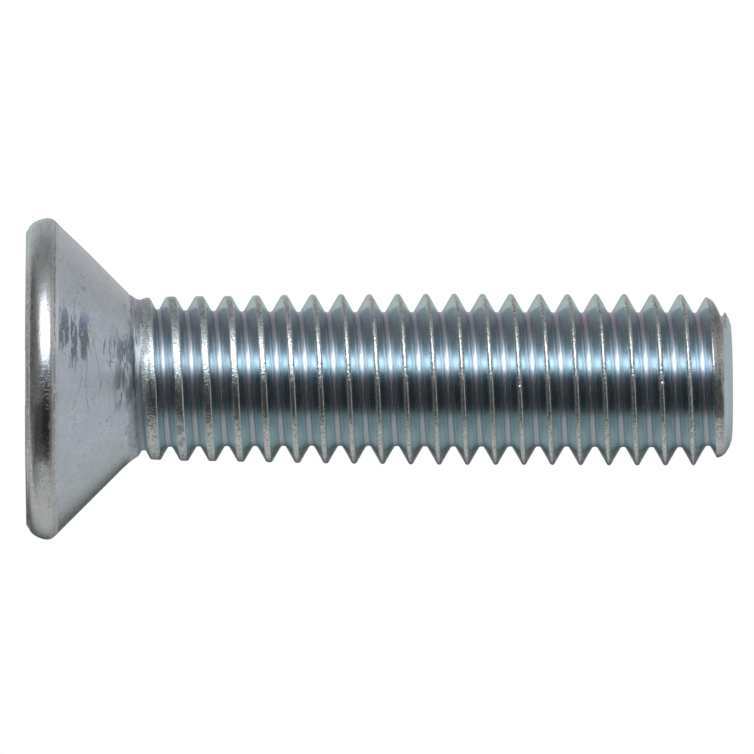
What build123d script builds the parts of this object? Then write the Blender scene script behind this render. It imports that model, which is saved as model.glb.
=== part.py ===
from build123d import *
import math
import os

# Countersunk machine screw, metric coarse thread M5 x 0.8, 20 mm long overall,
# zinc-plated steel. Cold headed and thread rolled in one piece, so it is one solid.
# Millimetres. +Z is the screw's own axis, from the flat of the head to the point.
# The origin is the centre of the head's flat face, on which the screw stands.

LENGTH = 20.00                 # overall, head face to point

# head: flat face, slightly flared rim, 90 degree countersunk underside
FACE_R = 4.14                  # flat part of the head face
RIM_CHAMFER_R = 4.430          # face-edge rounding, drawn as two short lines
RIM_CHAMFER_Z = 0.170
RIM_CORNER_R = 4.616           # where the flared rim would meet the cone
RIM_CORNER_Z = 0.713
CONE_SLOPE = 1.0044            # radius lost per mm of height
FACE_EDGE_FILLET = 0.12
RIM_CHAMFER_FILLET = 0.25
RIM_FILLET = 0.33              # leaves a head diameter of about 9.14

# neck and shank, over the crests
NECK_R = 2.21                  # unrolled blank under the head
UNDERHEAD_FILLET = 0.60
FIRST_CREST = (2.335, 3.75)    # (radius, height): crests near the head are low
LOW_CREST = (2.350, 5.75)
FULL_CREST = (2.430, 8.60)     # from here to the point the crests are full

# point
POINT_START_Z = 18.98
POINT_LEAD = (2.160, 19.68)    # slight lead on the last thread
POINT_FACE_R = 1.86
POINT_FILLET = 0.14

# thread groove, right-hand
PITCH = 0.80
FLANK_HALF_ANGLE = 30.0        # degrees: 60 degree thread
ROOT_FLAT = 0.09               # width of the groove's floor
ROOT_RUN = [                   # (height, floor radius): the groove runs out under the head
    (2.90, 2.460), (3.12, 2.240), (3.32, 2.063), (3.72, 1.980),
    (4.10, 1.950), (5.33, 1.927), (8.50, 1.900),
]
GROOVE_PHASE_Z = 0.121         # height of the floor at angle 0, plus whole pitches
GROOVE_END_Z = 20.45           # past the end face, so that the groove leaves the point
GROOVE_CLEAR = 0.05            # how far the cutter stands outside the crests
SEGMENT_DEG = 180.0            # the groove is cut in half turns
SPANS = 8                      # curve points per half turn

# cross recess, size 2
RECESS_FACE_R = 2.60           # centre to wing tip, at the face
RECESS_FLOOR_R = 1.15          # the same at the recess floor: 26.5 degrees a side
RECESS_DEPTH = 2.90
WING_FACE_W = 1.38
WING_FLOOR_W = 0.80            # 5.75 degrees a side
CORE_FACE_R = 1.10             # flats across the four inner corners, centre to flat
CORE_FLOOR_R = 0.70
RECESS_POINT_DEPTH = 3.20      # shallow cone in the floor
RECESS_LEAD = 0.06             # the cutter starts this far outside the face


def blank():
    neck_z = RIM_CORNER_Z + (RIM_CORNER_R - NECK_R) / CONE_SLOPE
    pts = [
        (0, 0),
        (FACE_R, 0),
        (RIM_CHAMFER_R, RIM_CHAMFER_Z),
        (RIM_CORNER_R, RIM_CORNER_Z),
        (NECK_R, neck_z),
        FIRST_CREST,
        LOW_CREST,
        FULL_CREST,
        (FULL_CREST[0], POINT_START_Z),
        POINT_LEAD,
        (POINT_FACE_R, LENGTH),
        (0, LENGTH),
    ]
    with BuildPart() as part:
        with BuildSketch(Plane.XZ) as sketch:
            with BuildLine():
                Polyline(*pts, close=True)
            make_face()

            def corner(i):
                return sketch.vertices().sort_by_distance((pts[i][0], pts[i][1], 0))[0]

            fillet(corner(1), FACE_EDGE_FILLET)
            fillet(corner(2), RIM_CHAMFER_FILLET)
            fillet(corner(3), RIM_FILLET)
            fillet(corner(4), UNDERHEAD_FILLET)
            fillet(corner(9), POINT_FILLET)
            fillet(corner(10), POINT_FILLET)
        revolve(axis=Axis.Z)
    # the seam is turned away from where the groove starts
    return part.part.rotate(Axis.Z, 100)


def floor_radius(z):
    if z <= ROOT_RUN[0][0]:
        return ROOT_RUN[0][1]
    for (z0, r0), (z1, r1) in zip(ROOT_RUN, ROOT_RUN[1:]):
        if z <= z1:
            return r0 + (r1 - r0) * (z - z0) / (z1 - z0)
    return ROOT_RUN[-1][1]


def groove_point(angle, k):
    """Corner k of the groove's trapezium, in the plane through the axis at this angle."""
    z = GROOVE_PHASE_Z + PITCH * angle / 360.0
    r = floor_radius(z)
    outer = FULL_CREST[0] + GROOVE_CLEAR
    half = ROOT_FLAT / 2 + (outer - r) * math.tan(math.radians(FLANK_HALF_ANGLE))
    rr, zz = [
        (r, z - ROOT_FLAT / 2), (r, z + ROOT_FLAT / 2),
        (outer, z + half), (outer, z - half),
    ][k]
    a = math.radians(angle)
    return Vector(rr * math.cos(a), rr * math.sin(a), zz)


def groove_segment(a0, a1):
    edges = []
    for k in range(4):
        through = [groove_point(a0 + (a1 - a0) * i / SPANS, k) for i in range(SPANS + 1)]
        ends = [(groove_point(a + 0.01, k) - groove_point(a - 0.01, k)).normalized()
                for a in (a0, a1)]
        edges.append(Edge.make_spline(through, tangents=ends))
    faces = [Face.make_surface_from_curves(edges[k], edges[(k + 1) % 4]) for k in range(4)]
    for a in (a0, a1):
        faces.append(Face(Wire.make_polygon([groove_point(a, k) for k in range(4)], close=True)))
    return Solid(Shell(faces))


def cut_thread(body):
    a0 = (ROOT_RUN[0][0] - GROOVE_PHASE_Z) / PITCH * 360.0
    a1 = (GROOVE_END_Z - GROOVE_PHASE_Z) / PITCH * 360.0
    count = math.ceil((a1 - a0) / SEGMENT_DEG)
    for i in range(count):
        body = body - groove_segment(a0 + (a1 - a0) * i / count,
                                     a0 + (a1 - a0) * (i + 1) / count)
    return body


def recess():
    z0, z1 = -RECESS_LEAD, RECESS_DEPTH
    grow = RECESS_LEAD / RECESS_DEPTH

    def at_lead(face, floor):
        return face + (face - floor) * grow

    def taper(face_size, floor_size, turn):
        lower = Plane((0, 0, z0)) * Rot(0, 0, turn) * Rectangle(*face_size)
        upper = Plane((0, 0, z1)) * Rot(0, 0, turn) * Rectangle(*floor_size)
        return loft([lower.face(), upper.face()], ruled=True)

    wing_face = (2 * at_lead(RECESS_FACE_R, RECESS_FLOOR_R), at_lead(WING_FACE_W, WING_FLOOR_W))
    wing_floor = (2 * RECESS_FLOOR_R, WING_FLOOR_W)
    core_face = 2 * at_lead(CORE_FACE_R, CORE_FLOOR_R)
    core_floor = 2 * CORE_FLOOR_R
    cutter = taper(wing_face, wing_floor, 0) + taper(wing_face, wing_floor, 90)
    cutter += taper((core_face, core_face), (core_floor, core_floor), 45)
    h = RECESS_POINT_DEPTH - RECESS_DEPTH
    tip = Pos(0, 0, RECESS_DEPTH + h / 2 - 0.01) * Cone(CORE_FLOOR_R * 0.7, 0, h + 0.02)
    return cutter + tip


body = cut_thread(blank())
body = body - recess()
solid = body.solids()[0]
solid.label = "screw"

os.makedirs("parts", exist_ok=True)
export_step(solid, "parts/screw.step")
print("solids", len(body.solids()), "valid", solid.is_valid,
      "volume", round(solid.volume, 3), "faces", len(solid.faces()))
print(solid.bounding_box())
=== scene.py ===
import math

import bpy
import numpy as np
from mathutils import Matrix, Vector


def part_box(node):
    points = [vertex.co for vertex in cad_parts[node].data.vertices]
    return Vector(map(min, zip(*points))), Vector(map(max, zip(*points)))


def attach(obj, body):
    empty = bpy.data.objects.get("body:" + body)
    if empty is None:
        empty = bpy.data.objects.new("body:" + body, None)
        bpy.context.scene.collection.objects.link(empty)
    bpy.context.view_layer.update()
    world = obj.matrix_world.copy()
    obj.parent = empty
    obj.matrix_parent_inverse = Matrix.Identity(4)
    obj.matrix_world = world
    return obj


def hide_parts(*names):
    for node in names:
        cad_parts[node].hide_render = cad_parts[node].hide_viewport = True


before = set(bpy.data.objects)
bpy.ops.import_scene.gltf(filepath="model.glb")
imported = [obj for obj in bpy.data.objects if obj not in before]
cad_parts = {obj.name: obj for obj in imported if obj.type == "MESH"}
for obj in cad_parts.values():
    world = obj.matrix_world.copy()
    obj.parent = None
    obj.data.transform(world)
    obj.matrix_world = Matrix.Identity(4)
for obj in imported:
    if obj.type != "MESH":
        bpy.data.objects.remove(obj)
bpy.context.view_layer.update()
lo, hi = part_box("screw")
MM = 0.001

# ---------------------------------------------------------------- shape of the screw, in mm
PITCH = 0.8
Z_ROOT0 = 0.1187           # height of a groove's middle at angle 0, plus whole pitches
ROOT_HALF = 0.061          # half width of the root's flat, were its corners sharp
ROOT_ARC = 0.078           # rolled corners of root and crest
CREST_ARC = 0.076
LEAN = 0.0055              # the thread runs out of square by this much
FLANK = math.radians(60.3)  # flank against the axis

HEAD = np.array([          # (height, radius): face corner, rim, countersink, neck
    (0.000, 4.130), (0.012, 4.165), (0.035, 4.200),
    (0.071, 4.250), (0.099, 4.306), (0.127, 4.349), (0.184, 4.408), (0.240, 4.448), (0.297, 4.476),
    (0.353, 4.501), (0.410, 4.520), (0.466, 4.537), (0.523, 4.552), (0.579, 4.563), (0.636, 4.567),
    (0.692, 4.562), (0.749, 4.546), (0.805, 4.516), (0.862, 4.470), (0.918, 4.415), (0.975, 4.3555),
    (1.100, 4.229), (1.250, 4.078), (1.427, 3.899), (1.600, 3.7254), (1.800, 3.5243), (2.000, 3.3233),
    (2.200, 3.1227), (2.400, 2.922), (2.557, 2.764), (2.700, 2.620), (2.84, 2.483), (2.95, 2.385), (3.07, 2.294),
    (3.16, 2.235), (3.235, 2.212)])
CREST = np.array([
    (3.30, 2.232), (3.42, 2.285), (3.70, 2.298), (4.10, 2.323), (4.50, 2.335), (4.90, 2.338), (5.30, 2.339),
    (5.70, 2.344), (6.10, 2.356), (6.50, 2.364), (6.90, 2.370), (7.30, 2.377), (7.70, 2.385), (8.10, 2.393),
    (8.90, 2.404), (9.70, 2.406), (10.50, 2.413), (11.30, 2.425), (12.10, 2.430), (13.30, 2.427), (14.50, 2.424),
    (15.30, 2.424), (16.10, 2.432), (16.90, 2.434), (17.70, 2.428), (18.50, 2.424), (21.0, 2.424)])
ROOT = np.array([
    (2.80, 2.90), (2.93, 2.50), (3.12, 2.22), (3.32, 2.045), (3.70, 1.955), (4.10, 1.935), (4.90, 1.925), (5.70, 1.911),
    (6.90, 1.904), (8.10, 1.897), (9.70, 1.894), (11.30, 1.903), (12.50, 1.908), (14.10, 1.903), (15.30, 1.901),
    (17.30, 1.910), (18.90, 1.908), (19.32, 1.868), (19.66, 1.80), (19.73, 1.80), (19.80, 2.02),
    (19.88, 2.40), (21.0, 3.0)])
TIP = np.array([
    (18.90, 2.46), (19.28, 2.325), (19.60, 2.195), (19.68, 2.170), (19.74, 2.150), (19.80, 2.105), (19.85, 2.045),
    (19.90, 1.960), (19.95, 1.860), (20.0, 1.70)])
CREST[:, 1] -= 0.009 * np.clip((CREST[:, 0] - 3.6) / 0.6, 0, 1)
ROOT[:, 1] -= 0.006 * np.clip((ROOT[:, 0] - 3.6) / 0.6, 0, 1)
ENV_Z = np.concatenate([HEAD[:, 0], CREST[:, 0]])
ENV_R = np.concatenate([HEAD[:, 1], CREST[:, 1]])


def smin(a, b, k):
    h = np.clip(0.5 + 0.5 * (b - a) / k, 0, 1)
    return b + (a - b) * h - k * h * (1 - h)


def smoothstep(x, a, b):
    t = np.clip((x - a) / (b - a), 0, 1)
    return t * t * (3 - 2 * t)


def envelope(a, z):
    e = np.interp(z, ENV_Z, ENV_R)
    t = np.interp(z, TIP[:, 0], TIP[:, 1], left=9.0)
    t = t - 0.12 * smoothstep(z, 19.58, 19.86) * (0.5 - 0.5 * np.cos(np.radians(a)))
    return np.where(z > TIP[0, 0] - 0.3, smin(e, t, 0.02), e)


TANF = math.tan(FLANK)
R_TAN = ROOT_ARC * math.tan(FLANK / 2)
R_ARC = ROOT_ARC * math.sin(FLANK)
R_FLAT = ROOT_HALF - R_TAN                     # root flat ends here, its corner's arc at D_ROOT
D_ROOT = R_FLAT + R_ARC
R_RISE = ROOT_ARC * (1 - math.cos(FLANK))
C_TAN = CREST_ARC * math.tan(FLANK / 2)
C_ARC = CREST_ARC * math.sin(FLANK)


def shape(a, z):
    """Radius of the shank at angle a (degrees) and height z, and how far the spot is crest or root."""
    shift = 0.05 * (1 - smoothstep(z, 3.4, 4.0))
    d = (z - shift - Z_ROOT0) / PITCH - a / 360.0
    d = (d - np.round(d)) * PITCH
    floor = np.interp(z - d, ROOT[:, 0], ROOT[:, 1])
    e = envelope(a, z)
    ad = np.abs(d)
    u = np.clip(ad - R_FLAT, 0, R_ARC)
    arc = floor + ROOT_ARC - np.sqrt(ROOT_ARC ** 2 - u ** 2)
    rt = floor + R_RISE
    groove = np.where(ad < D_ROOT, arc, rt + (ad - D_ROOT) * TANF)
    x = D_ROOT + (e - rt) / TANF + C_TAN - ad
    corner = e - CREST_ARC + np.sqrt(np.maximum(CREST_ARC ** 2 - np.clip(x, 0, C_ARC) ** 2, 0))
    r = np.where(x <= 0, e, np.where(x < C_ARC, corner, groove))
    crest = 1 - np.clip(x / C_ARC, 0, 1)
    root = np.where(groove < e - 0.02, 1 - np.clip((ad - R_FLAT) / R_ARC, 0, 1), 0.0)
    return np.minimum(r, e), crest, root


def surface(a, z):
    return shape(a, z)[0]


# ---------------------------------------------------------------- mesh
N = 160                    # columns around
Z_LO, Z_HI = 2.80, 19.95
K = 26                     # rows in one pitch, gathered at the corners of crest and root


def rows_of(a, t):
    """Heights of one pitch's rows at angle a, from the root below a crest to the root above it,
    with the height where each row's normal is taken (just inside the flank at a corner's end)."""
    zc = Z_ROOT0 + PITCH * (t + 0.5 + a / 360.0)
    out = []
    for s in (-1, 1):
        zr = zc + s * 0.5 * PITCH
        rt = float(np.interp(zr, ROOT[:, 0], ROOT[:, 1])) + R_RISE
        end = []
        for x in (0.0, C_ARC):
            ad = 0.33
            for _ in range(5):
                ad = D_ROOT + (float(envelope(a, zr - s * ad)) - rt) / TANF + C_TAN - x
                ad = min(max(ad, D_ROOT + 0.03), 0.5 * PITCH - 0.008)
            end.append(ad)
        f, g = end
        if f - g < 0.6 * C_ARC:
            f = max(f, D_ROOT + C_ARC + 0.03)
            g = f - C_ARC
        mid = 0.5 * (g + D_ROOT)
        side = [(0.5 * PITCH, 0), (0.25 * PITCH + 0.5 * f, 0), (f, 0), (f - 0.38 * (f - g), 0), (f - 0.72 * (f - g), 0),
                (g, -0.004), (mid, 0), (D_ROOT, 0.004), (R_FLAT + 0.72 * R_ARC, 0), (R_FLAT + 0.38 * R_ARC, 0),
                (R_FLAT, 0), (0.8 * R_FLAT, 0), (0.4 * R_FLAT, 0)]
        side = [(zr - s * ad, zr - s * (ad + dn)) for ad, dn in side]
        out.append(side)
    lower, upper = out
    rows = [(zc - 0.5 * PITCH, zc - 0.5 * PITCH)] + lower[:0:-1] + upper
    return zc, rows


verts, faces = [], []
att = {"turn": [], "across": [], "crest": [], "root": []}
normal_of = {}             # exact normals of the threaded shank


def add(x, y, z, turn=0.0, across=0.4, crest=0.0, root=0.0):
    verts.append((x * MM, y * MM, z * MM))
    for k, v in (("turn", turn), ("across", across), ("crest", crest), ("root", root)):
        att[k].append(float(v))
    return len(verts) - 1


def ring(r, z):
    out = []
    for i in range(N):
        a = 2 * math.pi * i / N
        rr = r[i] if hasattr(r, "__len__") else r
        zz = z[i] if hasattr(z, "__len__") else z
        out.append(add(rr * math.cos(a), rr * math.sin(a), zz))
    return out


def bridge(a, b):
    """Faces between two rings, a below b (seen from outside, wound outward)."""
    for i in range(N):
        j = (i + 1) % N
        faces.append((a[i], a[j], b[j], b[i]))


def face_add(q):
    seen = []
    for v in q:
        if v not in seen:
            seen.append(v)
    if len(seen) >= 3:
        faces.append(tuple(seen))


angles = np.arange(N) * 360.0 / N

# head, from the face's edge up to the start of the shank
head_rings = []
hz = [p[0] for p in HEAD if p[0] < Z_LO - 0.02]
for z in hz:
    r = np.interp(z, ENV_Z, ENV_R)
    head_rings.append(ring(float(r), float(z)))
lo_ring = ring(surface(angles, np.full(N, Z_LO)), Z_LO)
head_rings.append(lo_ring)
for a, b in zip(head_rings, head_rings[1:]):
    bridge(a, b)
hi_ring = ring(surface(angles, np.full(N, Z_HI)), Z_HI)

# threaded shank: a spiral grid, so that its rows follow crests and roots
t_first = int(math.floor((Z_LO - Z_ROOT0 - 1.5 * PITCH) / PITCH)) - 1
t_last = int(math.ceil((Z_HI - Z_ROOT0) / PITCH)) + 2
M = (t_last - t_first) * K
idx = np.zeros((M, N), int)
for i in range(N):
    a = math.radians(angles[i])
    ca, sa = math.cos(a), math.sin(a)
    row = []
    for t in range(t_first, t_last):
        zc, rows = rows_of(angles[i], t)
        row += [(t, q[0] - zc, q[0], q[1]) for q in rows]
    z, zn = np.array([q[2] for q in row]), np.array([q[3] for q in row])
    lift = 0.0
    for _ in range(4):
        lift = 0.05 * (1 - smoothstep(z + lift, 3.4, 4.0))
    z, zn = z + lift, zn + lift
    r, cm, rm = shape(angles[i], z)
    H = 2e-4
    rz = (surface(angles[i], zn + H) - surface(angles[i], zn - H)) / (2 * H)
    DA = 0.01
    ra = (surface(angles[i] + DA, zn) - surface(angles[i] - DA, zn)) / (2 * math.radians(DA))
    nx = ca + ra / r * sa
    ny = sa - ra / r * ca
    nl = np.sqrt(1 + (ra / r) ** 2 + rz ** 2)
    for m in range(M):
        if z[m] <= Z_LO + 0.012:
            idx[m, i] = lo_ring[i]
        elif z[m] >= Z_HI - 0.012:
            idx[m, i] = hi_ring[i]
        else:
            t, e = row[m][:2]
            if 3.30 < z[m] < 19.86:
                normal_of[len(verts)] = (nx[m] / nl[m], ny[m] / nl[m], -rz[m] / nl[m])
            lean = LEAN * ca * float(smoothstep(z[m], 3.3, 3.9) * (1 - smoothstep(z[m], 19.2, 19.7)))
            idx[m, i] = add(r[m] * ca, r[m] * sa, z[m] - lean, turn=t + i / N, across=e, crest=cm[m] if z[m] > 3.25 else 0.0, root=rm[m])
for i in range(N):
    for m in range(M - 1):
        if i < N - 1:
            q = (idx[m, i], idx[m, i + 1], idx[m + 1, i + 1], idx[m + 1, i])
        else:
            if m + K + 1 >= M:
                continue
            q = (idx[m, i], idx[m + K, 0], idx[m + K + 1, 0], idx[m + 1, i])
        face_add(q)

# point: bevel edge and end face
edge = np.minimum(surface(angles, np.full(N, 19.985)), 1.80)
prev = hi_ring
for rr, z in ((np.minimum(edge, 1.83), 19.985), (edge - 0.05, 20.0), (np.full(N, 1.45), 19.998),
              (np.full(N, 1.0), 19.99), (np.full(N, 0.5), 19.985)):
    nxt = ring(rr, z)
    bridge(prev, nxt)
    prev = nxt
c = add(0, 0, 19.985)
for i in range(N):
    faces.append((prev[i], prev[(i + 1) % N], c))

# cross recess in the head face
REC_L, REC_W, REC_F = (2.60, 1.15), (0.69, 0.40), (1.10, 0.70)
REC_D = 2.90


def cross(depth, grow=0.0):
    k = depth / REC_D
    L = REC_L[0] + (REC_L[1] - REC_L[0]) * k + grow
    W = REC_W[0] + (REC_W[1] - REC_W[0]) * k + grow
    F = REC_F[0] + (REC_F[1] - REC_F[0]) * k + grow
    c = F * math.sqrt(2) - W
    q = [(L, -W), (L, W), (c, W), (W, c)]
    pts = []
    for n in range(4):
        for x, y in q:
            for _ in range(n):
                x, y = -y, x
            pts.append((x, y))
    return pts


def subdivide(pts, n=3):
    out = []
    for (x0, y0), (x1, y1) in zip(pts, pts[1:] + pts[:1]):
        for k in range(n):
            out.append((x0 + (x1 - x0) * k / n, y0 + (y1 - y0) * k / n))
    return out


loops = []
for depth, grow, z in ((0, 0.10, 0.0), (0, 0.055, 0.010), (0, 0.02, 0.035), (0.08, 0.0, 0.09), (0.5, 0, 0.5), (1.0, 0, 1.0),
                       (1.6, 0, 1.6), (2.2, 0, 2.2), (2.7, 0, 2.7), (2.84, -0.005, 2.84), (2.89, -0.05, 2.89)):
    loops.append([add(x, y, z) for x, y in subdivide(cross(depth, grow))])
Q = len(loops[0])
for a, b in zip(loops, loops[1:]):
    for i in range(Q):
        j = (i + 1) % Q
        faces.append((a[i], b[i], b[j], a[j]))
inner = loops[-1]
for shrink, z in ((0.62, 2.92), (0.30, 3.06)):
    nxt = [add(verts[v][0] / MM * shrink, verts[v][1] / MM * shrink, z) for v in loops[-1]]
    for i in range(Q):
        j = (i + 1) % Q
        faces.append((inner[i], nxt[i], nxt[j], inner[j]))
    inner = nxt
c = add(0, 0, 3.18)
for i in range(Q):
    faces.append((inner[i], c, inner[(i + 1) % Q]))

# forming errors: a slightly domed head face that leans, a rim a little off centre, an end face out of square
for i, (x, y, z) in enumerate(verts):
    x, y, z = x / MM, y / MM, z / MM
    r = math.hypot(x, y)
    c = x / max(r, 1e-6)
    if z < 0.6:
        z += (1 - float(smoothstep(z, 0.15, 0.6))) * (0.036 + 0.0135 * c) * min(r / 4.13, 1.0) ** 2
    if z < 2.0 and r > 3.0:
        w = 0.024 * (1 - float(smoothstep(z, 0.9, 1.9)))
        x, y = x * (r - w) / r + 0.82 * w, y * (r - w) / r
    if z > 19.3:
        z -= float(smoothstep(z, 19.3, 19.9)) * (0.045 - 0.022 * c * min(r / 1.8, 1.0))
    verts[i] = (x * MM, y * MM, z * MM)

mesh = bpy.data.meshes.new("screw_body")
mesh.from_pydata(verts, [], faces)
for name, data in att.items():
    at = mesh.attributes.new(name, "FLOAT", "POINT")
    at.data.foreach_set("value", np.array(data, dtype=np.float32))

import bmesh
bm = bmesh.new()
bm.from_mesh(mesh)
bm.verts.ensure_lookup_table()
# flat head face between the rim's inner edge and the cross outline
outer = [bm.verts[v] for v in head_rings[0]]
cross_loop = [bm.verts[v] for v in loops[0]]
edges = []
for lp in (outer, cross_loop):
    for i in range(len(lp)):
        e = bm.edges.get((lp[i], lp[(i + 1) % len(lp)]))
        edges.append(e)
res = bmesh.ops.triangle_fill(bm, use_beauty=True, use_dissolve=False, edges=edges)
bmesh.ops.recalc_face_normals(bm, faces=bm.faces)
bm.to_mesh(mesh)
open_edges = sum(1 for e in bm.edges if len(e.link_faces) != 2)
tris = sum(len(f.verts) - 2 for f in bm.faces)
vol = bm.calc_volume() * 1e9
bm.free()
print("mesh", len(mesh.vertices), "verts", tris, "tris", "open edges", open_edges, "volume mm3", round(vol, 2))

mesh.shade_smooth()
mesh.set_sharp_from_angle(angle=math.radians(38))
mesh.normals_split_custom_set_from_vertices([normal_of.get(v, (0.0, 0.0, 0.0)) for v in range(len(mesh.vertices))])
screw = bpy.data.objects.new("screw_body", mesh)
bpy.context.scene.collection.objects.link(screw)

# ---------------------------------------------------------------- node helpers


class Tree:
    def __init__(self, nt):
        self.nt = nt

    def node(self, kind, **kw):
        n = self.nt.nodes.new(kind)
        for k, v in kw.items():
            setattr(n, k, v)
        return n

    def put(self, sock, v):
        if isinstance(v, bpy.types.NodeSocket):
            self.nt.links.new(v, sock)
        else:
            sock.default_value = v

    def math(self, op, a, b=None, c=None, clamp=False):
        n = self.node("ShaderNodeMath", operation=op, use_clamp=clamp)
        self.put(n.inputs[0], a)
        if b is not None:
            self.put(n.inputs[1], b)
        if c is not None:
            self.put(n.inputs[2], c)
        return n.outputs[0]

    def remap(self, v, a, b, c=0.0, d=1.0, smooth=True):
        n = self.node("ShaderNodeMapRange", interpolation_type="SMOOTHSTEP" if smooth else "LINEAR", clamp=True)
        self.put(n.inputs["Value"], v)
        n.inputs["From Min"].default_value = a
        n.inputs["From Max"].default_value = b
        n.inputs["To Min"].default_value = c
        n.inputs["To Max"].default_value = d
        return n.outputs["Result"]

    def combine(self, x, y, z):
        n = self.node("ShaderNodeCombineXYZ")
        for s, v in zip(n.inputs, (x, y, z)):
            self.put(s, v)
        return n.outputs[0]

    def noise(self, vec, scale, detail=2.0, rough=0.5, distort=0.0):
        n = self.node("ShaderNodeTexNoise", noise_dimensions="3D")
        self.put(n.inputs["Vector"], vec)
        n.inputs["Scale"].default_value = scale
        n.inputs["Detail"].default_value = detail
        n.inputs["Roughness"].default_value = rough
        n.inputs["Distortion"].default_value = distort
        return n.outputs["Fac"]

    def mixc(self, f, a, b, mode="MIX"):
        n = self.node("ShaderNodeMix", data_type="RGBA", blend_type=mode, clamp_factor=True)
        self.put(n.inputs[0], f)
        self.put(n.inputs[6], a)
        self.put(n.inputs[7], b)
        return n.outputs[2]

    def ramp(self, f, stops, interp="LINEAR"):
        n = self.node("ShaderNodeValToRGB")
        r = n.color_ramp
        r.interpolation = interp
        while len(r.elements) > 1:
            r.elements.remove(r.elements[-1])
        r.elements[0].position = stops[0][0]
        r.elements[0].color = (*stops[0][1], 1)
        for p, col in stops[1:]:
            e = r.elements.new(p)
            e.color = (*col, 1)
        self.put(n.inputs[0], f)
        return n.outputs[0]


# ---------------------------------------------------------------- zinc material
mat = bpy.data.materials.new("zinc_blue_passivated")
mat.use_nodes = True
nt = mat.node_tree
nt.nodes.clear()
T = Tree(nt)
out = T.node("ShaderNodeOutputMaterial")
bsdf = T.node("ShaderNodeBsdfPrincipled")
nt.links.new(bsdf.outputs[0], out.inputs[0])
bsdf.inputs["Metallic"].default_value = 1.0
bsdf.inputs["Specular Tint"].default_value = (0.86, 0.88, 0.88, 1)
co = T.node("ShaderNodeTexCoord").outputs["Object"]
sep = T.node("ShaderNodeSeparateXYZ")
T.put(sep.inputs[0], co)
X, Y = (T.math("MULTIPLY", sep.outputs[i], 1000.0) for i in (0, 1))
Z = T.math("MULTIPLY", sep.outputs[2], 1000.0)
RAD = T.math("SQRT", T.math("ADD", T.math("MULTIPLY", X, X), T.math("MULTIPLY", Y, Y)))
UX, UY = T.math("DIVIDE", X, RAD), T.math("DIVIDE", Y, RAD)


def around(turn, along, shift=0.0):
    """Coordinates that wrap round the screw: turn sets how many features go round, along how many per mm."""
    return T.combine(T.math("MULTIPLY_ADD", UX, turn, shift), T.math("MULTIPLY", UY, turn), T.math("MULTIPLY", Z, along))


def attr(name):
    n = T.node("ShaderNodeAttribute", attribute_name=name)
    return n.outputs["Fac"]


crest, root, across = attr("crest"), attr("root"), attr("across")
mm = T.combine(X, Y, Z)
TH = T.math("MULTIPLY", T.math("ARCTAN2", T.math("MULTIPLY", X, -1.0), T.math("MULTIPLY", Y, -1.0)), 57.29578)   # 0 toward -Y
head = T.remap(Z, 3.10, 3.26, 1.0, 0.0)
rim = T.remap(Z, 0.93, 0.97, 1.0, 0.0)
cone = T.math("SUBTRACT", head, rim)
thread = T.math("SUBTRACT", 1.0, head)
crest = T.math("MULTIPLY", T.math("MAXIMUM", T.remap(T.math("MULTIPLY_ADD", T.remap(Z, 4.8, 8.0, 1.0, 0.0), -0.52, crest), 0.0, 0.22), T.remap(T.math("ABSOLUTE", across), 0.078, 0.118, 0.8, 0.0)), thread)
root = T.remap(root, 0.66, 1.0)
side = T.math("ABSOLUTE", across)
near_root = T.remap(side, 0.20, 0.33)
start = T.remap(Z, 4.2, 7.0, 1.0, 0.0)          # the first threads, rolled less cleanly
fore = T.remap(T.math("ABSOLUTE", TH), 120.0, 168.0, 1.0, 0.0)


def mul(*v):
    out = v[0]
    for q in v[1:]:
        out = T.math("MULTIPLY", out, q)
    return out


def blot(z0, th0, dz, dth):
    """A soft oval patch at a height and an angle."""
    u = T.math("DIVIDE", T.math("ADD", Z, T.math("MULTIPLY_ADD", wob, 0.10, -z0 - 0.05)), dz)
    v = T.math("DIVIDE", T.math("ADD", TH, T.math("MULTIPLY_ADD", wob, 8.0, -th0 - 4.0)), dth)
    return T.remap(T.math("ADD", mul(u, u), mul(v, v)), 0.25, 1.20, 1.0, 0.0)


def scratch(z0, th0, z1, th1, bend, width):
    """A fine bent line between two spots."""
    u = T.math("DIVIDE", T.math("SUBTRACT", TH, th0), th1 - th0)
    line = T.math("ADD", T.math("MULTIPLY_ADD", u, z1 - z0, z0), mul(u, T.math("SUBTRACT", 1.0, u), 4.0 * bend))
    line = T.math("MULTIPLY_ADD", wob, 0.12, T.math("SUBTRACT", line, 0.06))
    d = T.math("ABSOLUTE", T.math("SUBTRACT", Z, line))
    ends = mul(T.remap(u, -0.06, 0.06), T.remap(u, 0.90, 1.08, 1.0, 0.0))
    return mul(T.remap(d, 0.3 * width, width, 1.0, 0.0), ends)


def ding(z0, th0):
    """A small raised knock on a crest; the same spot is also painted as a highlight."""
    u = T.math("MULTIPLY_ADD", Z, 14.0, -14.0 * z0)
    v = T.math("MULTIPLY_ADD", TH, 0.5, -0.5 * th0)
    return T.remap(T.math("MULTIPLY_ADD", u, u, mul(v, v)), 0.15, 1.3, 1.0, 0.0)


def total(parts):
    out = parts[0]
    for q in parts[1:]:
        out = T.math("MAXIMUM", out, q)
    return out


wob = T.noise(mm, 4.2, 2.0)
soft = T.noise(mm, 1.5, 2.0)
mid = T.noise(mm, 7.0, 2.0, 0.6)
fine = T.noise(mm, 27.0, 1.0)
grain = T.noise(mm, 17.0, 2.0, 0.65)
coarse_streak = T.noise(around(5.5, 10.0), 1.0, 3.0, 0.6)
fine_streak = T.noise(around(7.0, 26.0, 3.1), 1.0, 1.0)
stroke = T.noise(around(6.5, 15.0, 7.7), 1.0, 2.0, 0.6)

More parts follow.
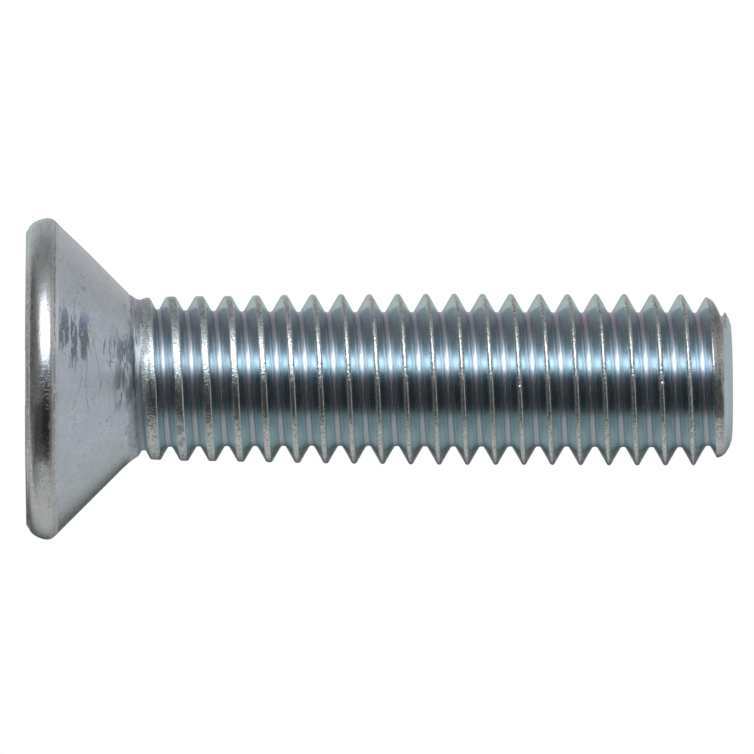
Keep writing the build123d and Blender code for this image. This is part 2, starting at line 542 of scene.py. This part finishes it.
# thread: smooth blue zinc on the flanks, greyer in the root, light and dark specks on the rolled crests
speck = T.remap(grain, 0.37, 0.53)
glint = T.remap(fine, 0.60, 0.70)
flank_col = T.mixc(T.remap(soft, 0.35, 0.65), (0.60, 0.70, 0.735, 1), (0.665, 0.72, 0.765, 1))
up_side = T.remap(T.math("ABSOLUTE", T.math("SUBTRACT", TH, 70.0)), 12.0, 42.0, 1.0, 0.0)
flank_col = T.mixc(mul(up_side, T.remap(side, 0.14, 0.24, 0.75, 0.0)), flank_col, (0.71, 0.865, 0.86, 1))
flank_col = T.mixc(mul(up_side, T.remap(side, 0.22, 0.34, 0.0, 0.55)), flank_col, (0.72, 0.68, 0.79, 1))
flank_col = T.mixc(mul(start, T.remap(TH, -35.0, -10.0), fore, 0.35), flank_col, (0.64, 0.69, 0.725, 1))
flank_col = T.mixc(T.remap(side, 0.25, 0.33, 0.0, 0.12), flank_col, (0.30, 0.34, 0.40, 1))
flank_col = T.mixc(T.remap(fine_streak, 0.36, 0.62, 0.06, 0.0), flank_col, (0.30, 0.36, 0.40, 1))
root_col = T.mixc(T.remap(soft, 0.40, 0.60), (0.67, 0.67, 0.73, 1), (0.64, 0.68, 0.72, 1))
rosy = mul(T.remap(side, 0.26, 0.36), T.remap(T.math("ABSOLUTE", T.math("SUBTRACT", TH, 64.0)), 5.0, 20.0, 1.0, 0.0),
           T.remap(Z, 13.0, 16.5), T.remap(soft, 0.42, 0.58))
crest_col = T.mixc(speck, (0.46, 0.525, 0.515, 1), (0.98, 1.0, 0.99, 1))
crest_col = T.mixc(mul(start, T.remap(mid, 0.40, 0.60, 0.25, 0.75)), crest_col, (0.86, 0.96, 0.94, 1))
crest_col = T.mixc(mul(start, T.remap(fine, 0.36, 0.46, 1.0, 0.0), 0.70), crest_col, (0.20, 0.215, 0.21, 1))
crest_col = T.mixc(glint, crest_col, (1.0, 1.0, 1.0, 1))
# dull patches on all crests; on the first crests' front they also carry painted shade, strongest near angle -25 where
# the dark gap in the studio light reflects
dull_wear_and_painted_shade = mul(T.remap(wob, 0.50, 0.62), T.math("MULTIPLY_ADD", mul(start, fore, T.remap(TH, -25.0, 15.0, 1.0, 0.25)), 0.50, 0.14))
crest_col = T.mixc(dull_wear_and_painted_shade, crest_col, (0.36, 0.395, 0.38, 1))
lee = mul(T.remap(across, 0.015, 0.055), T.remap(Z, 7.0, 9.0), 0.24)
crest_col = T.mixc(lee, crest_col, (0.25, 0.27, 0.27, 1))
flank_col = T.mixc(mul(fore, T.remap(TH, -50.0, -20.0, 0.75, 0.0)), flank_col, (0.66, 0.82, 0.86, 1))
col_t = T.mixc(root, flank_col, root_col)
col_t = T.mixc(mul(rosy, 0.6), col_t, (0.88, 0.52, 0.62, 1))
col_t = T.mixc(crest, col_t, crest_col)
# painted shade: a dark line, as of a shallow fold, splits the first crest on one side
fold_painted_shade = mul(T.remap(T.math("ABSOLUTE", T.math("ADD", Z, T.math("MULTIPLY_ADD", TH, 0.00222, T.math("MULTIPLY_ADD", mid, 0.06, -3.55)))), 0.020, 0.055, 1.0, 0.0),
           T.remap(TH, -16.0, -6.0), T.remap(TH, 36.0, 50.0, 1.0, 0.0), T.remap(coarse_streak, 0.36, 0.52, 0.45, 1.0))
col_t = T.mixc(mul(fold_painted_shade, 0.80), col_t, (0.27, 0.30, 0.31, 1))
# the last turn before the point is duller, and painted shade darkens its crest in two bands on the front; the bevel is
# clean
last = mul(T.remap(Z, 19.22, 19.34), T.remap(Z, 19.66, 19.71, 1.0, 0.0), crest)
last_crest_painted_shade = T.math("MAXIMUM", mul(fore, T.remap(TH, 18.0, 34.0, 0.0, 0.60)), T.remap(T.math("ABSOLUTE", T.math("ADD", TH, 14.0)), 13.0, 17.0, 0.95, 0.0))
col_t = T.mixc(mul(last, last_crest_painted_shade, T.remap(mid, 0.36, 0.58, 1.0, 0.45)), col_t, (0.36, 0.362, 0.352, 1))
bevel = T.remap(Z, 19.66, 19.71)
col_t = T.mixc(bevel, col_t, T.mixc(mid, (0.74, 0.83, 0.83, 1), (0.82, 0.90, 0.90, 1)))

# knocks on the crests: raised in the relief, with a painted highlight in near white
ding_bumps_and_highlights = total([ding(15.45, 28.5), ding(16.235, 33.2), ding(17.96, -3.3), ding(13.93, -6.0), ding(18.80, -34.8)])
col_t = T.mixc(mul(ding_bumps_and_highlights, 0.6), col_t, (0.98, 1.0, 1.0, 1))

# countersink: blue-grey zinc, mottled, with drag marks round it and hair scratches, and painted light on its lower
# front
col_h = T.mixc(T.remap(soft, 0.35, 0.65), (0.695, 0.765, 0.80, 1), (0.77, 0.82, 0.855, 1))
col_h = T.mixc(mul(fore, T.remap(TH, 38.0, 74.0, 0.0, 0.75)), col_h, (0.92, 0.855, 0.94, 1))
# painted light: the countersink's front at angles -78 to -42 is made near white
col_h = T.mixc(mul(fore, T.remap(TH, -78.0, -42.0, 1.0, 0.0)), col_h, (0.95, 0.98, 1.0, 1))
col_h = T.mixc(T.remap(mid, 0.38, 0.60, 0.13, 0.0), col_h, (0.42, 0.44, 0.42, 1))
col_h = T.mixc(T.remap(fine, 0.34, 0.66, 0.10, 0.0), col_h, (0.30, 0.34, 0.37, 1))
col_h = T.mixc(T.remap(fine_streak, 0.50, 0.72, 0.0, 0.10), col_h, (0.95, 0.98, 1.0, 1))
zone = total([blot(1.38, 18.0, 0.62, 17.0), blot(2.40, 16.0, 0.26, 10.0), blot(1.5, 106.0, 0.6, 20.0), blot(1.9, -128.0, 0.5, 22.0)])
spot = total([blot(1.13, 20.5, 0.12, 10.0), blot(1.37, 17.0, 0.10, 10.0), blot(1.66, 18.5, 0.16, 14.0), blot(0.96, 18.0, 0.09, 8.0)])
patches = mul(zone, T.math("ADD", T.remap(T.math("ADD", stroke, mul(spot, 0.22)), 0.52, 0.64, 0.0, 0.80), mul(spot, 0.20)), T.remap(grain, 0.34, 0.52, 0.60, 1.0))
blue = T.mixc(T.remap(TH, 18.0, 29.0), (0.20, 0.225, 0.25, 1), (0.28, 0.33, 0.50, 1))
col_h = T.mixc(mul(patches, cone, 0.93), col_h, blue)
drag = mul(T.remap(Z, 2.30, 2.75), T.remap(T.math("ABSOLUTE", T.math("ADD", TH, T.math("MULTIPLY_ADD", soft, 60.0, -32.0))), 14.0, 34.0, 1.0, 0.0),
           T.remap(stroke, 0.38, 0.53))
drag2 = mul(T.remap(Z, 2.6, 2.9), T.remap(coarse_streak, 0.54, 0.66), 0.55)
col_h = T.mixc(mul(T.math("MAXIMUM", drag, drag2), 0.84), col_h, (0.22, 0.245, 0.265, 1))
col_h = T.mixc(mul(T.remap(Z, 2.85, 3.0), T.remap(T.math("ABSOLUTE", T.math("SUBTRACT", TH, 14.0)), 14.0, 26.0, 1.0, 0.0), T.remap(stroke, 0.30, 0.55, 0.25, 0.70)), col_h, (0.30, 0.33, 0.35, 1))
lines = total([scratch(1.79, 27.1, 2.116, -1.0, 0.035, 0.022), scratch(1.61, 1.5, 1.33, -13.0, 0.03, 0.024),
               scratch(1.752, 6.0, 1.79, -14.5, -0.04, 0.022), scratch(2.12, 1.0, 2.10, -8.5, 0.02, 0.024),
               scratch(2.741, -2.0, 2.882, -21.0, 0.02, 0.034), scratch(1.4, 118.0, 1.7, 146.0, 0.05, 0.024)])
hair = mul(T.remap(T.math("ABSOLUTE", T.math("SUBTRACT", T.noise(around(6.0, 1.5, 9.0), 1.0, 3.0, 0.62), 0.5)), 0.004, 0.014, 1.0, 0.0),
           T.remap(soft, 0.46, 0.56))
col_h = T.mixc(mul(T.math("MAXIMUM", lines, hair), cone, T.remap(mid, 0.32, 0.56, 0.05, 0.50)), col_h, (0.29, 0.295, 0.27, 1))

# rim: pitted and duller, dirt in the corner to the countersink, with painted highlight, painted light and painted shade
# on its front
pits = T.remap(grain, 0.34, 0.50, 1.0, 0.0)
col_r = T.mixc(T.remap(soft, 0.35, 0.65), (0.80, 0.835, 0.83, 1), (0.88, 0.90, 0.89, 1))
col_r = T.mixc(mul(pits, 0.26), col_r, (0.22, 0.225, 0.215, 1))
col_r = T.mixc(mul(T.remap(coarse_streak, 0.48, 0.66), 0.22), col_r, (0.30, 0.31, 0.295, 1))
# painted highlight: the rim is near white at angles 4 to 44, where the soft box reflects in it
col_r = T.mixc(mul(T.remap(TH, 4.0, 14.0), T.remap(TH, 28.0, 44.0, 1.0, 0.0), T.remap(Z, 0.30, 0.45), 0.85), col_r, (0.98, 0.99, 0.985, 1))
# painted light: the rim's front at angles -74 to -44 is made near white
col_r = T.mixc(mul(fore, T.remap(TH, -74.0, -44.0, 0.85, 0.0)), col_r, (0.98, 0.985, 0.98, 1))
# painted shade: a dark patch on the rim near angle -15, where the dark gap in the studio light reflects
col_r = T.mixc(mul(T.remap(T.math("ABSOLUTE", T.math("ADD", TH, T.math("MULTIPLY_ADD", mid, 9.0, 15.5))), 9.0, 13.0, 1.0, 0.0), T.remap(Z, 0.24, 0.34), T.remap(T.math("MULTIPLY_ADD", mid, 0.10, Z), 0.71, 0.78, 1.0, 0.0), 0.62), col_r, (0.22, 0.225, 0.22, 1))
# painted shade: the rim below 0.34 mm is darkened between angles -27 and 47, where the dark side below reflects
col_r = T.mixc(mul(T.remap(Z, 0.20, 0.34, 1.0, 0.0), T.remap(TH, -32.0, -22.0), T.remap(TH, 34.0, 60.0, 1.0, 0.0), T.remap(mid, 0.34, 0.60, 0.62, 0.25)), col_r, (0.30, 0.31, 0.30, 1))
corner_dirt = mul(T.remap(T.math("ABSOLUTE", T.math("ADD", Z, T.math("MULTIPLY_ADD", wob, 0.05, -0.865))), 0.012, 0.040, 1.0, 0.0),
                  T.remap(mid, 0.30, 0.60, 0.25, 1.0), T.remap(T.math("ABSOLUTE", T.math("SUBTRACT", TH, 24.0)), 30.0, 60.0, 1.0, 0.35))
col_r = T.mixc(mul(corner_dirt, 0.62), col_r, (0.25, 0.24, 0.215, 1))
col_h = T.mixc(rim, col_h, col_r)
nt.links.new(T.mixc(head, col_t, col_h), bsdf.inputs["Base Color"])

r_t = T.math("ADD", 0.085, mul(near_root, T.math("MULTIPLY_ADD", root, -0.06, 0.20)))
r_t = T.math("ADD", r_t, mul(start, 0.05))
r_t = T.math("ADD", r_t, mul(crest, T.math("ADD", T.remap(grain, 0.36, 0.64, 0.13, 0.04), mul(start, 0.08))))
r_t = T.math("MULTIPLY_ADD", bevel, 0.16, r_t)
neck = mul(T.remap(Z, 2.85, 3.05), T.remap(Z, 3.25, 3.5, 1.0, 0.0))
r_h = T.math("ADD", T.math("MULTIPLY_ADD", mid, 0.14, 0.165), mul(rim, T.math("MULTIPLY_ADD", pits, 0.08, -0.08)))
scuffed = T.math("MULTIPLY_ADD", T.remap(TH, -12.0, -2.0, 1.0, 0.0), 0.20, 0.17)
r_h = T.math("MULTIPLY_ADD", neck, scuffed, r_h)
r_h = T.math("MULTIPLY_ADD", mul(rim, T.remap(T.math("MULTIPLY_ADD", mid, 0.30, Z), 0.74, 1.02)), 0.24, r_h)
r_t = T.math("MULTIPLY_ADD", neck, scuffed, r_t)
rr = T.node("ShaderNodeMix", data_type="FLOAT")
T.put(rr.inputs[0], head)
T.put(rr.inputs[2], r_t)
T.put(rr.inputs[3], r_h)
nt.links.new(rr.outputs[0], bsdf.inputs["Roughness"])
# relief, in hundredths of a millimetre
h_t = T.math("ADD", mul(crest, grain, T.math("MULTIPLY_ADD", last, -0.95, 1.25)), mul(mid, T.math("MULTIPLY_ADD", start, 0.18, 0.11)))
h_t = T.math("MULTIPLY_ADD", ding_bumps_and_highlights, 1.6, h_t)
h_h = T.math("ADD", mul(mid, 0.25), mul(pits, rim, T.remap(TH, -8.0, 12.0, -0.24, -0.14)))
h = T.math("ADD", mul(h_t, thread), mul(h_h, head))
bump = T.node("ShaderNodeBump")
bump.inputs["Strength"].default_value = 1.0
bump.inputs["Distance"].default_value = 0.00001
T.put(bump.inputs["Height"], h)
nt.links.new(bump.outputs[0], bsdf.inputs["Normal"])
mesh.materials.append(mat)

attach(screw, "root")
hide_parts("screw")

# ---------------------------------------------------------------- studio
world = bpy.data.worlds.new("studio")
bpy.context.scene.world = world
world.use_nodes = True
wn = world.node_tree
wn.nodes.clear()
W = Tree(wn)
wout = W.node("ShaderNodeOutputWorld")
gen = W.node("ShaderNodeTexCoord").outputs["Generated"]
ws = W.node("ShaderNodeSeparateXYZ")
W.put(ws.inputs[0], gen)
# angle in the floor plane: 0 toward -Y, +90 toward -X
ang = W.math("ARCTAN2", W.math("MULTIPLY", ws.outputs[0], -1.0), W.math("MULTIPLY", ws.outputs[1], -1.0))
f = W.math("ADD", W.math("DIVIDE", ang, 2 * math.pi), 0.5)      # 0..1, 0.5 = toward -Y


def lights(table, top=2.0):
    """A ring of studio light from (angle, grey or colour) pairs, top the brightest value."""
    stops = []
    for deg, v in table:
        v = v if hasattr(v, "__len__") else (v, v, v)
        stops.append((0.5 + deg / 360.0, tuple(q / top for q in v)))
    return W.mixc(1.0, W.ramp(f, stops), (top, top, top, 1), "MULTIPLY")


# one soft box beside the camera, a dark gap under it, grey walls, a bright wall behind
level = lights([(-180, (0.36, 0.38, 0.38)), (-169, (0.066, 0.074, 0.075)), (-158, (0.13, 0.142, 0.143)), (-149, (0.26, 0.27, 0.27)), (-142, 0.36), (-125, 0.43), (-105, 0.43),
                (-74, 0.41), (-69, 0.39), (-65, 0.28), (-60, 0.13), (-53, 0.050), (-38, (0.037, 0.032, 0.030)), (-9, (0.055, 0.049, 0.047)),
                (0, (0.076, 0.071, 0.072)), (6, (0.14, 0.15, 0.18)), (11, (0.33, 0.38, 0.45)), (16, (0.80, 0.89, 1.03)), (21, (2.20, 2.42, 2.70)),
                (25, (3.9, 4.15, 4.45)), (34, (3.5, 3.72, 4.0)), (41, (1.80, 1.90, 2.03)), (48, (0.90, 0.97, 1.06)),
                (55, (0.50, 0.54, 0.59)), (62, (0.38, 0.41, 0.44)), (76, (0.33, 0.345, 0.36)), (96, 0.225), (120, (0.26, 0.255, 0.27)),
                (135, (0.37, 0.37, 0.39)), (150, (0.43, 0.45, 0.47)), (169, (0.58, 0.62, 0.64)), (180, (0.36, 0.38, 0.38))], 4.5)
# beyond the soft box's ends
off = lights([(-180, (0.33, 0.34, 0.345)), (-172, (0.112, 0.124, 0.128)), (-165, (0.135, 0.15, 0.155)), (-156, (0.25, 0.27, 0.275)), (-149, 0.39), (-140, 0.46), (-128, 0.46), (-110, 0.40), (-95, 0.37), (-78, 0.34),
              (-68, 0.22), (-60, 0.13), (-50, 0.10), (-30, 0.10), (-12, 0.11), (5, 0.15), (20, 0.24), (34, 0.34),
              (55, 0.37), (76, 0.30), (92, 0.23), (104, 0.22), (120, 0.27), (138, 0.42), (152, 0.51), (165, 0.56), (173, 0.58), (180, (0.33, 0.34, 0.345))])
head_side = lights([(-180, 0.58), (-122, 0.48), (-108, 0.16), (-60, 0.08), (-20, 0.13), (60, 0.16), (128, 0.16), (141, 0.28), (153, 0.5), (180, 0.58)])
up = ws.outputs[2]
col = W.mixc(W.math("MAXIMUM", W.remap(up, 0.20, 0.50), W.remap(up, -0.42, -0.64)), level, off)
col = W.mixc(W.remap(up, -0.50, -0.82), col, head_side)
col = W.mixc(W.remap(up, -0.86, -0.96), col, (0.145, 0.15, 0.15, 1))
# the box reaches farther past the head
box = W.math("MULTIPLY", W.remap(f, 0.5 + 9 / 360, 0.5 + 24 / 360), W.remap(f, 0.5 + 50 / 360, 0.5 + 72 / 360, 1.0, 0.0))
box = W.math("MULTIPLY", box, W.math("MULTIPLY", W.remap(up, -0.06, -0.16), W.remap(up, -0.62, -0.48)))
col = W.mixc(W.math("MULTIPLY", box, 0.85), col, (1.9, 1.97, 2.05, 1))
front = W.math("MULTIPLY", W.math("MAXIMUM", W.math("MULTIPLY", ws.outputs[1], -1.0), 0.0), 0.8)
side = W.math("MULTIPLY", W.math("ABSOLUTE", ws.outputs[0]), 0.5)
col = W.mixc(W.remap(W.math("SUBTRACT", W.math("SUBTRACT", up, front), side), 0.22, 0.70), col, (0.50, 0.515, 0.55, 1))
lp = W.node("ShaderNodeLightPath")
bg = W.node("ShaderNodeBackground")
W.put(bg.inputs[0], col)
white = W.node("ShaderNodeBackground")
white.inputs[0].default_value = (1, 1, 1, 1)
mix = W.node("ShaderNodeMixShader")
W.put(mix.inputs[0], lp.outputs["Is Camera Ray"])
wn.links.new(bg.outputs[0], mix.inputs[1])
wn.links.new(white.outputs[0], mix.inputs[2])
wn.links.new(mix.outputs[0], wout.inputs[0])

# floor: pale, seen edge on by the main camera
fm = bpy.data.meshes.new("floor")
R = 0.6
fm.from_pydata([(-R, -R, 0), (R, -R, 0), (R, R, 0), (-R, R, 0)], [], [(0, 1, 2, 3)])
floor = bpy.data.objects.new("floor", fm)
bpy.context.scene.collection.objects.link(floor)
fmat = bpy.data.materials.new("floor_white")
fmat.use_nodes = True
fn = fmat.node_tree
fn.nodes.clear()
F = Tree(fn)
fo = F.node("ShaderNodeOutputMaterial")
em = F.node("ShaderNodeEmission")
em.inputs[0].default_value = (1, 1, 1, 1)
dif = F.node("ShaderNodeBsdfDiffuse")
dif.inputs[0].default_value = (0.8, 0.8, 0.8, 1)
flp = F.node("ShaderNodeLightPath")
mx = F.node("ShaderNodeMixShader")
F.put(mx.inputs[0], flp.outputs["Is Camera Ray"])
fn.links.new(dif.outputs[0], mx.inputs[1])
fn.links.new(em.outputs[0], mx.inputs[2])
fn.links.new(mx.outputs[0], fo.inputs[0])
fm.materials.append(fmat)
floor.visible_glossy = False

# ---------------------------------------------------------------- camera
F_PX = 19000.0
PX_MM = 35.39
DIST = F_PX / PX_MM * MM
TILT = math.radians(-0.95)
ROLL = math.radians(0.155)
centre = Vector((0, 0, (lo[2] + hi[2]) / 2 - 0.05 * MM))
back = Vector((0, -math.cos(TILT), math.sin(TILT)))
right = Vector((0, math.sin(TILT), math.cos(TILT)))
upv = Vector((-1, 0, 0))
cr, sr = math.cos(ROLL), math.sin(ROLL)
right2 = right * cr + upv * sr
up2 = upv * cr - right * sr
cam_data = bpy.data.cameras.new("camera")
cam_data.sensor_width = 36.0
cam_data.lens = F_PX * 36.0 / 754.0
cam_data.clip_start = 0.05
cam_data.clip_end = 5.0
cam = bpy.data.objects.new("camera", cam_data)
bpy.context.scene.collection.objects.link(cam)
loc = centre + back * DIST + up2 * (2.17 / PX_MM * MM)
m = Matrix.Identity(4)
for i in range(3):
    m[i][0], m[i][1], m[i][2], m[i][3] = right2[i], up2[i], back[i], loc[i]
cam.matrix_world = m
bpy.context.scene.camera = cam

bpy.context.scene.view_settings.view_transform = "Standard"
bpy.context.scene.view_settings.look = "None"
